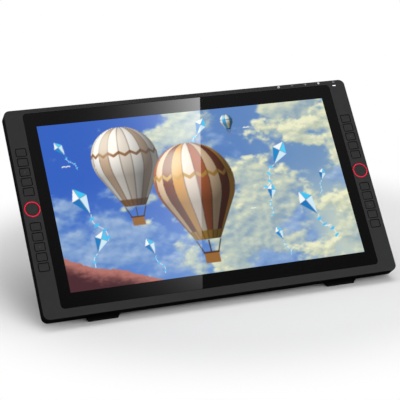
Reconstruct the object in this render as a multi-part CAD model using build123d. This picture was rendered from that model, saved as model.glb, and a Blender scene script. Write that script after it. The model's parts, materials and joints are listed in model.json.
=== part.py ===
from build123d import *
import math
import os

# A pen display: a screen that is drawn on, with a column of keys and a dial on each side,
# standing on two front feet and a folding leg. Lengths are in millimetres, angles in degrees.
#
# The display is drawn in its own frame: the origin is the screen's centre on the front face,
# +X to the right, +Y up the face, +Z out of the face towards the user. It is then leaned back
# and set down, so that the finished part has +Z up and the floor at zero.

# How it stands
lean = 50.0

# Screen and cover glass
screen_width = 476.6
screen_height = 268.1
border_side = 18.15
border_end = 22.65
glass_thickness = 1.1
glass_corner = 6.0
glass_recess = 0.2
glass_gap = 0.2
glass_edge = 0.25
tape_thickness = 0.3
tape_width = 8.0

# Front frame
side_strip = 28.65
top_strip = 7.5
bottom_strip = 13.8
body_corner = 9.5
frame_depth = 3.6
frame_lip = 2.0
frame_edge = 0.8
well_wall = 1.5
well_depth = 4.6
well_corner = 3.0
fit_gap = 0.2
seam = 0.25
post_radius = 2.2

# Panel stack behind the glass
panel_margin = 5.7
panel_thickness = 1.5
panel_gap = 1.0
guide_margin = 3.8
guide_thickness = 4.1
tray_wall = 0.8
tray_lip = 5.2
stack_gap = 0.1
sensor_thickness = 1.0
shield_thickness = 1.0
shield_flange_width = 1.2
shield_flange_depth = 2.6

# Rear cover
cover_wall = 1.8
rim_depth = 18.5
bevel_depth = 3.0
bevel_inset = 8.0
crown_depth = 4.5
crown_inset = 34.0
crown_corner = 13.0
vent_length = 76.0
vent_width = 2.4
vent_pitch = 6.5
vent_rows = 11
vent_inset = 95.1
vent_y = 62.0
overrun = 1.0

# Screws that join frame and cover
screw_radius = 1.4
screw_head_radius = 2.7
screw_head_height = 1.8
screw_bite = 6.0
screw_clearance = 0.1
boss_radius = 3.2
boss_wall = 1.4
boss_gap = 0.3
boss_reach = 9.0
boss_floor = 1.8
corner_screw_inset = 29.35
edge_screw_pitch = 110.0
edge_screw_inset = 9.6

# Keys
key_width = 15.4
key_height = 12.2
key_corner = 1.6
key_gap = 0.75
key_flange_gap = 0.45
key_set = 0.12
key_edge = 0.4
key_pitch = 16.0
keys_each_way = 5
key_first = 28.0
key_flange = 1.5
key_flange_thickness = 1.0
key_stem_radius = 2.0
key_stem_length = 0.5
key_travel = 0.6
key_free = 0.35
dot_radius = 1.0
dot_height = 0.35
marked_key = 3

# Dials
dial_y = 2.1
dial_inset = 15.1
ring_radius = 12.4
ring_width = 2.0
ring_height = 3.0
ring_proud = 0.5
ring_edge = 0.7
dial_gap = 0.35
groove_width = 0.6
groove_depth = 1.4
disc_set = 0.1
dial_base_thickness = 1.0
dial_base_set = 0.7
dial_shaft_radius = 3.0
shaft_clearance = 0.06

# Key boards, one behind each column
board_thickness = 1.2
board_width = 22.0
board_end = 8.0
board_drop = 10.0
switch_size = 6.0
plunger_radius = 1.5
plunger_height = 0.5
encoder_size = 12.0
encoder_gap = 0.5
encoder_floor = 0.6

# Buttons on the top edge
button_pitch = 23.5
button_count = 4
button_run = 97.0
power_inset = 18.9
button_width = 9.0
button_height = 3.4
button_corner = 1.6
button_edge = 0.3
button_proud = 0.6
button_gap = 0.3
button_flange = 1.0
button_flange_thickness = 0.8
button_stem = 0.7
button_travel = 0.5
button_free = 0.4
button_drop = 9.5
side_switch_depth = 3.3
side_switch_size = 6.0
button_board_width = 9.5
button_board_end = 9.0
button_post_inset = 12.0

# Power light
light_width = 5.6
light_height = 1.3
light_below_edge = 9.7
light_gap = 0.1
light_air = 0.4

# Main board and its sockets
main_width = 96.0
main_height = 90.0
main_inset = 87.1
main_standoff = 3.2
standoff_radius = 2.5
standoff_inset = 5.0
can_width = 44.0
can_height = 36.0
can_depth = 3.0
can_rise = 18.0
chip_size = 14.0
chip_depth = 1.4
chip_x = 34.0
socket_reach = 12.5
socket_set = 0.3
socket_gap = 0.25
socket_depth_share = 0.75
blade_share = 0.5
hdmi_width = 15.0
hdmi_height = 5.8
hdmi_wall = 0.45
hdmi_blade = 1.0
hdmi_x = 0.0
usb_width = 9.2
usb_height = 3.4
usb_wall = 0.35
usb_blade = 0.7
usb_x = 15.5
usb_pitch = 15.0
usb_count = 2
jack_width = 9.0
jack_height = 7.6
jack_bore_radius = 3.0
jack_bore_depth = 9.0
jack_pin_radius = 1.0
jack_pin_set = 1.0
jack_x = -17.0

# Recess for the plugs in the rear cover
recess_width = 92.0
recess_height = 34.0
recess_depth = 13.8
recess_wall = 1.5
recess_corner = 4.0
recess_top_y = -26.0
board_gap = 0.5

# Front feet
foot_inset = 92.1
foot_drop = 6.1
foot_set = 19.5
foot_length = 24.0
foot_width_top = 54.2
foot_width_sole = 46.7
foot_taper = 9.5
foot_height = 25.0
foot_slope = 5.0
foot_corner = 1.0
pad_thickness = 3.6
pad_inset = 0.4

# Stand bracket on the back
bracket_width = 196.0
bracket_top_y = 96.0
bracket_depth = 14.0
bracket_corner = 12.0
bracket_wall = 3.0
bracket_floor = 3.0
lid_thickness = 2.0
lid_edge = 0.8
lid_lip = 1.2
lid_lip_wall = 1.4
hinge_y = -62.0
hinge_behind = 10.5
barrel_radius = 8.5
barrel_wall = 2.0
arrest_y = 14.0
plate_pitch = 100.0
plate_screw_radius = 2.0
plate_screw_head_radius = 4.0
plate_screw_head_height = 2.6
plate_screw_length = 12.0
insert_radius = 5.0

# Hinge pins and clutches
pin_radius = 3.5
pin_clearance = 0.05
pin_in_arm = 17.0
clutch_radius = 7.0
clutch_length = 25.0
clutch_recess = 1.0
clutch_groove = 1.0
clutch_groove_depth = 0.8
clutch_grooves = 10
clutch_groove_pitch = 2.0

# Folding leg
leg_length = 200.0
arm_width = 22.5
arm_depth = 12.0
arm_edge = 1.5
arm_panel_depth = 1.5
arm_panel_margin = 5.5
arm_panel_start = 20.0
knuckle_gap = 0.5
cross_width = 18.0
inner_corner = 5.0
nose_radius = 8.5
nose_edge = 1.5
sleeve_radius = 9.2
sleeve_wall = 2.4
sleeve_wrap = 4.0
sleeve_length = 50.0
sleeve_x = 66.0
sleeve_flat = 0.4

# Release lever, its pin, its springs and the yoke that it pulls
lever_width = 118.0
lever_y = 86.0
lever_behind = 6.8
lever_barrel = 3.4
lever_pin_radius = 2.0
lever_pin_clearance = 0.06
lever_reach = 30.0
lever_thickness = 4.0
lever_grip = 3.0
lever_arm_length = 6.8
lever_arm_width = 8.0
lever_arm_thickness = 2.0
ear_thickness = 4.0
ear_gap = 0.5
ear_rise = 4.0
spring_x = 32.0
spring_width = 8.0
spring_wire = 0.8
spring_gap = 0.3
spring_leg = 9.0
yoke_thickness = 1.2
yoke_stem = 16.0
yoke_bar = 12.0
yoke_gap = 0.4
yoke_slot_length = 6.0
yoke_from_pivot = 5.0
finger_width = 5.0
finger_share = 0.7
guide_radius = 2.0
guide_low_y = -30.0
guide_high_y = 56.0
guide_length = 10.0

# Places that follow from the sizes
glass_width = screen_width + 2 * border_side
glass_height = screen_height + 2 * border_end
body_width = glass_width + 2 * side_strip
body_height = glass_height + top_strip + bottom_strip
body_y = (top_strip - bottom_strip) / 2
body_top = glass_height / 2 + top_strip
body_bottom = -glass_height / 2 - bottom_strip
back_depth = rim_depth + bevel_depth + crown_depth
corner_screw_rise = body_height / 2 - corner_screw_inset
column_x = body_width / 2 - dial_inset
power_x = body_width / 2 - power_inset
first_button_x = power_x - button_run
main_x = body_width / 2 - main_inset
vent_x = body_width / 2 - vent_inset
foot_x = body_width / 2 - foot_inset
panel_front = -(glass_recess + glass_thickness)
pocket_floor = panel_front - tape_thickness
panel_width = screen_width + 2 * panel_margin
panel_height = screen_height + 2 * panel_margin
window_width = panel_width + 2 * panel_gap
window_height = panel_height + 2 * panel_gap
panel_back = panel_front - panel_thickness
guide_front = panel_back - stack_gap
guide_back = guide_front - guide_thickness
tray_width = window_width + 2 * tray_lip
tray_height = window_height + 2 * tray_lip
tray_back = guide_back - stack_gap - tray_wall
sensor_front = tray_back - stack_gap
sensor_back = sensor_front - sensor_thickness
shield_front = sensor_back - stack_gap
shield_back = shield_front - shield_thickness
main_front = shield_back - main_standoff
main_back = main_front - board_thickness
main_y = recess_top_y + recess_wall + board_gap + main_height / 2
cover_front = -frame_lip - seam
cover_inner_back = cover_wall - back_depth
boss_end = -frame_depth - boss_reach
screw_seat = boss_end - boss_gap - boss_floor
board_front = -board_drop
key_shoulder = -frame_depth - key_flange_gap
key_stem_end = key_shoulder - key_flange_thickness - key_stem_length
plunger_top = key_stem_end - key_travel - key_free
dial_base = ring_proud - ring_height
dial_back = dial_base - dial_base_thickness
wall_inner_y = body_top - cover_wall
button_shoulder = wall_inner_y - button_gap
button_flange_end = button_shoulder - button_flange_thickness
button_stem_end = button_flange_end - button_stem
side_switch_y = button_stem_end - button_travel - button_free - side_switch_depth / 2
button_board_y = side_switch_y + side_switch_depth / 2 - button_board_width / 2
button_board_front = -button_drop - side_switch_size / 2
light_y = body_top - light_below_edge
key_offsets = [key_first + key_pitch * i for i in range(keys_each_way)]
key_rows = [dial_y + d for d in reversed(key_offsets)] + [dial_y - d for d in key_offsets]
board_half = key_offsets[-1] + key_height / 2 + board_end
button_names = ["menu_button", "minus_button", "plus_button", "light_button", "power_button"]
button_xs = [first_button_x + button_pitch * i for i in range(button_count)] + [power_x]
bracket_front = -back_depth - bracket_floor
bracket_back = -back_depth - bracket_depth
cavity_low = hinge_y + barrel_radius + barrel_wall
hinge_z = -back_depth - hinge_behind
lid_low = hinge_y + math.sqrt(barrel_radius ** 2 - (hinge_z - bracket_back) ** 2) + fit_gap
lever_z = -back_depth - lever_behind
lever_span = lever_width + 2 * ear_gap
pin_span = lever_span + 2 * ear_thickness
paddle_front = lever_z - lever_barrel + lever_thickness
yoke_z = lever_z - yoke_from_pivot
yoke_low = cavity_low + yoke_gap
knuckle_inner = bracket_width / 2 + knuckle_gap
leg_half = knuckle_inner + arm_width
clutch_end = bracket_width / 2 - clutch_recess
finger_x = clutch_end - clutch_length * finger_share

# The display stands on the front edge of its feet, foot_drop below the body's bottom edge and
# foot_set behind the face, and the leg opens until its rubber touches the floor.
sine, cosine = math.sin(math.radians(lean)), math.cos(math.radians(lean))
screen_rise = (foot_drop - body_bottom) * sine + foot_set * cosine
hinge_rise = screen_rise + hinge_y * sine + hinge_z * cosine
leg_slope = math.degrees(math.asin((hinge_rise - sleeve_radius + sleeve_flat) / leg_length))


def depth_of(y, z):
    """How far back a point of the display's frame lies once the display is leaned back."""
    return y * cosine - z * sine


foot_front = depth_of(body_bottom - foot_drop, -foot_set)
face_front = depth_of(body_bottom + frame_edge, -frame_edge) - frame_edge
leg_end = depth_of(hinge_y, hinge_z) + leg_length * math.cos(math.radians(leg_slope))
middle = (face_front + leg_end + sleeve_radius) / 2
standing = Location((0, -middle, screen_rise), (lean, 0, 0))
leg_standing = standing * Location((0, hinge_y, hinge_z), (-lean - leg_slope, 0, 0))


def plate(width, height, corner, front, back, x=0, y=0):
    """A plate with rounded corners between two depths of the display's frame."""
    return Pos(x, y, back) * extrude(RectangleRounded(width, height, corner), amount=front - back)


def block(width, height, front, back, x=0, y=0):
    """A square-cornered plate between two depths of the display's frame."""
    return Pos(x, y, (front + back) / 2) * Box(width, height, front - back)


def post(radius, front, back, x=0, y=0):
    """A round post or hole between two depths of the display's frame."""
    return Pos(x, y, (front + back) / 2) * Cylinder(radius, front - back)


def rod(radius, length, x, y, z):
    """A round bar along X, centred on a point."""
    return Pos(x, y, z) * Rot(0, 90, 0) * Cylinder(radius, length)


def body_form(skin):
    """The display's outside from the seam to its back, shrunk by a skin: rim, bevel and crown."""
    levels = [
        (0, cover_front, body_corner - skin),
        (0, -rim_depth, body_corner - skin),
        (bevel_inset, skin - rim_depth - bevel_depth, body_corner),
        (crown_inset, skin - back_depth, crown_corner),
    ]
    sections = [
        Pos(0, body_y, z) * RectangleRounded(
            body_width - 2 * skin - 2 * inset, body_height - 2 * skin - 2 * inset, corner)
        for inset, z, corner in levels
    ]
    return loft(sections, ruled=True)


def screw_places():
    """Where screws join frame and cover: beyond the key columns and along both long edges."""
    columns = [(s * column_x, t * corner_screw_rise) for s in (-1, 1) for t in (-1, 1)]
    edges = [body_top - edge_screw_inset, body_bottom + edge_screw_inset]
    return columns + [(edge_screw_pitch * i, y) for y in edges for i in (-1, 0, 1)]


def board_post_places(side):
    """Where the frame carries a key board: beside the dial and beyond the last keys."""
    near = (ring_radius + key_first - key_height / 2) / 2
    far = board_half - board_end / 2
    return [(side * column_x, dial_y + d) for d in (-far, -near, near, far)]


def button_post_places():
    """Where the frame carries the board of the top buttons, between two buttons at each end."""
    ends = (first_button_x + button_pitch / 2, power_x - button_post_inset)
    return [(x, button_board_y) for x in ends]


def plate_places():
    """The square of screws that joins the stand's bracket to the display."""
    half = plate_pitch / 2
    return [(sx * half, arrest_y + sy * half) for sx in (-1, 1) for sy in (-1, 1)]


def main_post_places():
    """The main board's four standoffs."""
    dx, dy = main_width / 2 - standoff_inset, main_height / 2 - standoff_inset
    return [(main_x + s * dx, main_y + t * dy) for s in (-1, 1) for t in (-1, 1)]


def front_frame():
    """Moulded frame: face strips, glass pocket, window, key and dial holes, well, bosses and posts."""
    step = 2 * (cover_wall + fit_gap)
    frame = plate(body_width, body_height, body_corner, 0, -frame_lip, 0, body_y)
    frame = fillet(frame.faces().sort_by(Axis.Z)[-1].edges(), frame_edge)
    frame += plate(body_width - step, body_height - step, body_corner - step / 2,
                   -frame_lip, -frame_depth, 0, body_y)
    margin = 2 * (fit_gap + well_wall)
    frame += plate(tray_width + margin, tray_height + margin, well_corner,
                   -frame_depth, -frame_depth - well_depth)
    for x, y in screw_places():
        frame += post(boss_radius, -frame_depth, boss_end, x, y)
    for side in (-1, 1):
        for x, y in board_post_places(side):
            frame += post(post_radius, -frame_depth, board_front, x, y)
    for x, y in button_post_places():
        frame += post(post_radius, -frame_depth, button_board_front, x, y)

    frame -= block(tray_width + 2 * fit_gap, tray_height + 2 * fit_gap,
                   -frame_depth, -frame_depth - well_depth - overrun)
    frame -= block(window_width, window_height, overrun, -frame_depth - overrun)
    frame -= plate(glass_width + 2 * glass_gap, glass_height + 2 * glass_gap, glass_corner + glass_gap,
                   overrun, pocket_floor)
    for side in (-1, 1):
        for y in key_rows:
            frame -= plate(key_width + 2 * key_gap, key_height + 2 * key_gap, key_corner + key_gap,
                           overrun, -frame_depth - overrun, side * column_x, y)
        frame -= post(ring_radius + dial_gap, overrun, -frame_depth - overrun, side * column_x, dial_y)
    for x, y in screw_places():
        frame -= post(screw_radius, boss_end + screw_bite, boss_end - overrun, x, y)
    frame -= block(light_width + 2 * light_gap, light_height + 2 * light_gap,
                   overrun, -frame_depth - overrun, power_x, light_y)
    return frame


def cover_glass():
    """Etched glass that lies in the frame's pocket, with its front edge ground back."""
    glass = plate(glass_width, glass_height, glass_corner, -glass_recess, panel_front)
    return chamfer(glass.faces().sort_by(Axis.Z)[-1].edges(), glass_edge)


def glass_tape():
    """Foam tape between glass and frame, a closed ring on the pocket's floor."""
    ring = plate(glass_width, glass_height, glass_corner, panel_front, pocket_floor)
    return ring - block(glass_width - 2 * tape_width, glass_height - 2 * tape_width,
                        panel_front + overrun, pocket_floor - overrun)


def lcd_panel():
    """The liquid-crystal cell, bonded to the back of the glass."""
    return block(panel_width, panel_height, panel_front, panel_back)


def light_guide():
    """Light guide and its films, one block as they are stacked."""
    width, height = screen_width + 2 * guide_margin, screen_height + 2 * guide_margin
    return block(width, height, guide_front, guide_back)


def backlight_tray():
    """Folded metal tray that holds the light guide against the panel."""
    front = -frame_depth - stack_gap
    tray = block(tray_width, tray_height, front, tray_back)
    return tray - block(tray_width - 2 * tray_wall, tray_height - 2 * tray_wall,
                        front + overrun, guide_back - stack_gap)


def digitizer_board():
    """The sensor board that reads the pen, as large as the window."""
    return block(window_width, window_height, sensor_front, sensor_back)


def shield_plate():
    """Steel plate that stiffens the display and carries the main board on four standoffs."""
    shield = block(tray_width, tray_height, shield_front, shield_back)
    for side in (-1, 1):
        shield += block(shield_flange_width, tray_height, shield_front, shield_back - shield_flange_depth,
                        side * (tray_width - shield_flange_width) / 2)
    for x, y in main_post_places():
        shield += post(standoff_radius, shield_back, main_front, x, y)
    return shield


def main_board():
    """Display controller: board, screening can and two chips, each a solid of its own."""
    board = block(main_width, main_height, main_front, main_back, main_x, main_y)
    can = block(can_width, can_height, main_back, main_back - can_depth, main_x, main_y + can_rise)
    chips = [block(chip_size, chip_size, main_back, main_back - chip_depth, main_x + s * chip_x,
                   main_y + can_rise) for s in (-1, 1)]
    return Compound(children=[board, can] + chips)


def socket_mouth():
    """Where the sockets' mouths lie, just inside the recess's upper wall."""
    return recess_top_y + socket_set


def shell_socket(width, height, wall, blade, x):
    """A metal shell socket on the board's back, with its cavity and the contact blade inside."""
    low = socket_mouth()
    deep = socket_reach * socket_depth_share
    centre_z = main_back - height / 2
    shell = block(width, socket_reach, main_back, main_back - height, main_x + x, low + socket_reach / 2)
    shell -= block(width - 2 * wall, deep + overrun, main_back - wall, main_back - height + wall,
                   main_x + x, low + (deep - overrun) / 2)
    blade_length = deep * socket_depth_share
    return shell + block(width * blade_share, blade_length, centre_z + blade / 2, centre_z - blade / 2,
                         main_x + x, low + deep - blade_length / 2)


def hdmi_socket():
    """Video socket."""
    return shell_socket(hdmi_width, hdmi_height, hdmi_wall, hdmi_blade, hdmi_x)


def usb_xs():
    """Where the USB sockets sit beside the video socket."""
    return [usb_x + usb_pitch * i for i in range(usb_count)]


def usb_sockets():
    """Two USB sockets, one group."""
    return Compound(children=[shell_socket(usb_width, usb_height, usb_wall, usb_blade, x) for x in usb_xs()])


def power_jack():
    """Barrel jack: a round socket with a pin on its axis."""
    low = socket_mouth()
    x, z = main_x + jack_x, main_back - jack_height / 2
    jack = block(jack_width, socket_reach, main_back, main_back - jack_height, x, low + socket_reach / 2)
    bore = Rot(90, 0, 0) * Cylinder(jack_bore_radius, jack_bore_depth + overrun)
    jack -= Pos(x, low + (jack_bore_depth - overrun) / 2, z) * bore
    pin_length = jack_bore_depth - jack_pin_set
    pin = Rot(90, 0, 0) * Cylinder(jack_pin_radius, pin_length)
    return jack + Pos(x, low + jack_pin_set + pin_length / 2, z) * pin


def key_board(side):
    """Board behind one column: ten tact switches and the dial's encoder, each a solid of its own."""
    x = side * column_x
    pieces = [block(board_width, 2 * board_half, board_front, board_front - board_thickness, x, dial_y)]
    for y in key_rows:
        switch = block(switch_size, switch_size, plunger_top - plunger_height, board_front, x, y)
        pieces.append(switch + post(plunger_radius, plunger_top, plunger_top - plunger_height, x, y))
    encoder = block(encoder_size, encoder_size, dial_back - encoder_gap, board_front, x, dial_y)
    encoder -= post(dial_shaft_radius + shaft_clearance, dial_back, board_front + encoder_floor, x, dial_y)
    return Compound(children=pieces + [encoder])


def button_board():
    """Board of the top buttons: five side switches, each a solid of its own."""
    left, right = first_button_x - button_board_end, power_x + button_board_end
    board = block(right - left, button_board_width, button_board_front,
                  button_board_front - board_thickness, (left + right) / 2, button_board_y)
    switches = [block(side_switch_size, side_switch_depth, button_board_front + side_switch_size,
                      button_board_front, x, side_switch_y) for x in button_xs]
    return Compound(children=[board] + switches)


def power_light():
    """Clear bar that brings the lamp's light to the face."""
    return block(light_width, light_height, 0, button_board_front + light_air, power_x, light_y)


def rear_cover():
    """Moulded back: rim, bevel and crown in one wall, with bosses, inserts, vents and the plug recess."""
    outside, inside = body_form(0), body_form(cover_wall)
    cover = outside - inside
    boss_front = boss_end - boss_gap
    for x, y in screw_places():
        radius = screw_head_radius + screw_clearance + boss_wall
        cover += post(radius, boss_front, -back_depth, x, y) & outside
    for x, y in plate_places():
        cover += post(insert_radius, shield_back - stack_gap, cover_inner_back - cover_wall / 2, x, y)
    recess_y = recess_top_y - recess_height / 2
    recess_floor = recess_depth - back_depth
    cover += plate(recess_width + 2 * recess_wall, recess_height + 2 * recess_wall,
                   recess_corner + recess_wall, recess_floor + recess_wall,
                   cover_inner_back - cover_wall / 2, main_x, recess_y)

    cover -= plate(recess_width, recess_height, recess_corner, recess_floor, -back_depth - overrun,
                   main_x, recess_y)
    mouths = [(hdmi_width, hdmi_height, hdmi_x), (jack_width, jack_height, jack_x)]
    for width, height, x in mouths + [(usb_width, usb_height, x) for x in usb_xs()]:
        cover -= block(width + 2 * socket_gap, recess_wall + 2 * overrun, main_back + socket_gap,
                       main_back - height - socket_gap, main_x + x, recess_top_y + recess_wall / 2)
    vent = extrude(SlotOverall(vent_length, vent_width), amount=cover_wall + 2 * overrun)
    for row in range(vent_rows):
        y = vent_y + vent_pitch * (row - (vent_rows - 1) / 2)
        for side in (-1, 1):
            cover -= Pos(side * vent_x, y, -back_depth - overrun) * vent
    for x, y in screw_places():
        cover -= post(screw_radius + screw_clearance, boss_front + overrun, -back_depth - overrun, x, y)
        cover -= post(screw_head_radius + screw_clearance, screw_seat, -back_depth - overrun, x, y)
    for x, y in plate_places():
        cover -= post(plate_screw_radius, plate_screw_length - back_depth, -back_depth - overrun, x, y)
    for x in button_xs:
        cover -= button_slug(x, button_width + 2 * button_gap, button_height + 2 * button_gap,
                             button_corner + button_gap, body_top + overrun, wall_inner_y - overrun)
    return cover


def case_screws():
    """Screws that hold the cover to the frame, one group."""
    screws = []
    for x, y in screw_places():
        head = post(screw_head_radius, screw_seat, screw_seat - screw_head_height, x, y)
        shank = post(screw_radius - screw_clearance / 2, boss_end + screw_bite - boss_gap, screw_seat, x, y)
        screws.append(head + shank)
    return Compound(children=screws)


def button_slug(x, width, height, corner, outer, inner):
    """A rounded bar through the top wall between two heights up the face."""
    outline = Plane(origin=(x, inner, -button_drop), x_dir=(1, 0, 0), z_dir=(0, 1, 0)) \
        * RectangleRounded(width, height, corner)
    return extrude(outline, amount=outer - inner)


def top_button(x):
    """A button of the top edge, with the flange that keeps it in and the stem over its switch."""
    cap = button_slug(x, button_width, button_height, button_corner, body_top + button_proud, button_shoulder)
    cap = chamfer(cap.faces().sort_by(Axis.Y)[-1].edges(), button_edge)
    flange = button_slug(x, button_width + 2 * button_flange, button_height + 2 * button_flange,
                         button_corner, button_shoulder, button_flange_end)
    stem = button_slug(x, button_height, button_height, button_corner, button_flange_end, button_stem_end)
    return cap + flange + stem


def key(side, row):
    """A key cap: chamfered top, flange under the frame and stem over its switch."""
    x, y = side * column_x, key_rows[row]
    cap = plate(key_width, key_height, key_corner, -key_set, key_shoulder, x, y)
    cap = chamfer(cap.faces().sort_by(Axis.Z)[-1].edges(), key_edge)
    cap += block(key_width + 2 * key_flange, key_height + 2 * key_flange, key_shoulder,
                 key_shoulder - key_flange_thickness, x, y)
    cap += post(key_stem_radius, key_shoulder - key_flange_thickness, key_stem_end, x, y)
    if row % keys_each_way == marked_key - 1:
        cap += post(dot_radius, dot_height - key_set, -key_set - key_edge, x, y)
    return cap


def dial_knob(side):
    """The dial's disc, the base that carries the ring and the shaft that turns in the encoder."""
    x = side * column_x
    seat = ring_radius - ring_width
    disc = post(seat - groove_width, -disc_set, dial_base, x, dial_y)
    disc = chamfer(disc.faces().sort_by(Axis.Z)[-1].edges(), key_edge)
    knob = disc + post(seat - shaft_clearance, -groove_depth, dial_base, x, dial_y)
    knob += post(ring_radius - dial_base_set, dial_base, dial_back, x, dial_y)
    return knob + post(dial_shaft_radius, dial_back, board_front + encoder_floor + fit_gap, x, dial_y)


def dial_ring(side):
    """Anodised ring around the dial's disc, rounded on its outer and inner front edges."""
    x = side * column_x
    ring = post(ring_radius, ring_proud, dial_base, x, dial_y)
    ring -= post(ring_radius - ring_width, ring_proud + overrun, dial_base - overrun, x, dial_y)
    return fillet(ring.faces().sort_by(Axis.Z)[-1].edges(), ring_edge)


def foot_blank(side, inset):
    """A front foot's block where it stands, from the floor up into the display: it widens to its
    shoulder as seen from the front, and its rear face slopes as seen from the side."""
    half_sole, half_top = foot_width_sole / 2 - inset, foot_width_top / 2 - inset
    front_view = Polygon((-half_sole, 0), (half_sole, 0), (half_top, foot_taper), (half_top, foot_height),
                         (-half_top, foot_height), (-half_top, foot_taper), align=None)
    side_view = Polygon((inset, 0), (foot_length - inset, 0), (foot_length + foot_slope, foot_height),
                        (inset, foot_height), align=None)
    blank = extrude(Plane.XZ * front_view, amount=-foot_length - foot_slope) \
        & extrude(Plane.YZ * side_view, amount=half_top, both=True)
    corners = blank.faces().sort_by(Axis.Y)[0].edges().filter_by(Axis.X, reverse=True)
    return Pos(side * foot_x, foot_front - middle, 0) * fillet(corners, foot_corner)


def floor_slab():
    """The layer above the floor that the foot pads fill."""
    return Pos(0, 0, pad_thickness / 2) * Box(body_width, body_width, pad_thickness)


def front_feet():
    """Two feet: each block is cut to the display's outside and stands on its pad."""
    outside = standing * body_form(0)
    feet = []
    for side in (-1, 1):
        foot = foot_blank(side, 0) - outside - floor_slab()
        feet.append(foot.solids().sort_by(Axis.Z)[0])
    return Compound(children=feet)


def front_foot_pads():
    """Rubber soles, a little narrower than the blocks and flat on the floor."""
    return Compound(children=[foot_blank(side, pad_inset) & floor_slab() for side in (-1, 1)])


def stand_bracket():
    """Cast bracket: an open tray with the hinge barrel along its lower edge, ears for the lever's pin
    and two guide posts for the yoke."""
    height = bracket_top_y - hinge_y
    centre_y = (bracket_top_y + hinge_y) / 2
    tray = plate(bracket_width, height + 2 * bracket_corner, bracket_corner, -back_depth, bracket_back,
                 0, centre_y - bracket_corner)
    tray &= block(bracket_width, height, -back_depth, bracket_back, 0, centre_y)
    cavity_high = bracket_top_y - bracket_wall
    tray -= plate(bracket_width - 2 * bracket_wall, cavity_high - cavity_low, bracket_corner - bracket_wall,
                  bracket_front, bracket_back - overrun, 0, (cavity_low + cavity_high) / 2)
    tray += rod(barrel_radius, bracket_width, 0, hinge_y, hinge_z)
    for side in (-1, 1):
        tray += block(ear_thickness, 2 * ear_rise, bracket_front, lever_z - ear_rise,
                      side * (lever_span + ear_thickness) / 2, lever_y)
    for y in (guide_low_y, guide_high_y):
        tray += post(guide_radius, bracket_front, bracket_front - guide_length, 0, y)

    bore = clutch_length + 2 * clutch_recess
    for side in (-1, 1):
        tray -= rod(clutch_radius, bore + overrun, side * (bracket_width - bore + overrun) / 2,
                    hinge_y, hinge_z)
        slot_high = cavity_low + overrun
        tray -= block(finger_width + 2 * yoke_gap, slot_high - hinge_y, yoke_z + yoke_thickness / 2 + yoke_gap,
                      yoke_z - yoke_thickness / 2 - yoke_gap, side * finger_x, (slot_high + hinge_y) / 2)
    tray -= rod(lever_pin_radius, pin_span + overrun, 0, lever_y, lever_z)
    tray -= block(lever_span, bracket_wall + 2 * overrun, bracket_front, bracket_back - overrun,
                  0, bracket_top_y - bracket_wall / 2)
    for x, y in plate_places():
        tray -= post(plate_screw_radius + screw_clearance, -back_depth + overrun, bracket_front - overrun, x, y)
    return tray


def stand_lid():
    """Moulded lid of the bracket, with a lip that fits inside its walls."""
    height, centre_y = bracket_top_y - lid_low, (bracket_top_y + lid_low) / 2
    lid = plate(bracket_width, height, bracket_corner, bracket_back, bracket_back - lid_thickness, 0, centre_y)
    lid = chamfer(lid.faces().sort_by(Axis.Z)[0].edges(), lid_edge)
    inset = bracket_wall + fit_gap
    lip_corner = bracket_corner - inset
    lip_y = (bracket_top_y - inset + cavity_low + fit_gap) / 2
    lip_height = bracket_top_y - inset - cavity_low - fit_gap
    lip = plate(bracket_width - 2 * inset, lip_height, lip_corner, bracket_back + lid_lip, bracket_back,
                0, lip_y)
    inset += lid_lip_wall
    lip -= plate(bracket_width - 2 * inset, lip_height - 2 * lid_lip_wall, lip_corner - lid_lip_wall,
                 bracket_back + lid_lip + overrun, bracket_back, 0, lip_y)
    lip -= block(pin_span + 2 * ear_gap, 2 * inset + 2 * overrun, bracket_back + lid_lip + overrun,
                 bracket_back, 0, bracket_top_y)
    return lid + lip


def stand_screws():
    """Four screws through the bracket's floor into the cover's inserts."""
    screws = []
    for x, y in plate_places():
        head = post(plate_screw_head_radius, bracket_front, bracket_front - plate_screw_head_height, x, y)
        shank = post(plate_screw_radius - screw_clearance / 2,
                     plate_screw_length - screw_clearance - back_depth, bracket_front, x, y)
        screws.append(head + shank)
    return Compound(children=screws)


def hinge_clutches():
    """Clutch cartridges that grip the pins inside the barrel, grooved as their springs are wound."""
    cartridges = []
    for side in (-1, 1):
        x = side * (clutch_end - clutch_length / 2)
        body = rod(clutch_radius - pin_clearance, clutch_length, x, hinge_y, hinge_z)
        for i in range(clutch_grooves):
            at = x + clutch_groove_pitch * (i - (clutch_grooves - 1) / 2)
            groove = rod(clutch_radius, clutch_groove, at, hinge_y, hinge_z)
            body -= groove - rod(clutch_radius - clutch_groove_depth, clutch_groove, at, hinge_y, hinge_z)
        cartridges.append(body - rod(pin_radius + pin_clearance, clutch_length + overrun, x, hinge_y, hinge_z))
    return Compound(children=cartridges)


def lever_pin():
    """The lever's pin, fast in both ears."""
    return rod(lever_pin_radius - pin_clearance / 2, pin_span, 0, lever_y, lever_z)


def release_lever():
    """Paddle that the fingers press: a barrel on the pin, a rounded grip and the arm that pulls the yoke."""
    lever = rod(lever_barrel, lever_width, 0, lever_y, lever_z)
    lever += block(lever_width, lever_reach - lever_grip, paddle_front, paddle_front - lever_thickness,
                   0, lever_y + (lever_reach - lever_grip) / 2)
    lever += rod(lever_grip, lever_width, 0, lever_y + lever_reach - lever_grip,
                 paddle_front - lever_thickness / 2)
    lever += block(lever_arm_width, lever_arm_thickness, lever_z, lever_z - lever_arm_length, 0, lever_y)
    for side in (-1, 1):
        lever -= rod(lever_barrel + spring_gap, spring_width + 2 * spring_gap, side * spring_x,
                     lever_y, lever_z)
    return lever - rod(lever_pin_radius + lever_pin_clearance, lever_width + overrun, 0, lever_y, lever_z)


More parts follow.
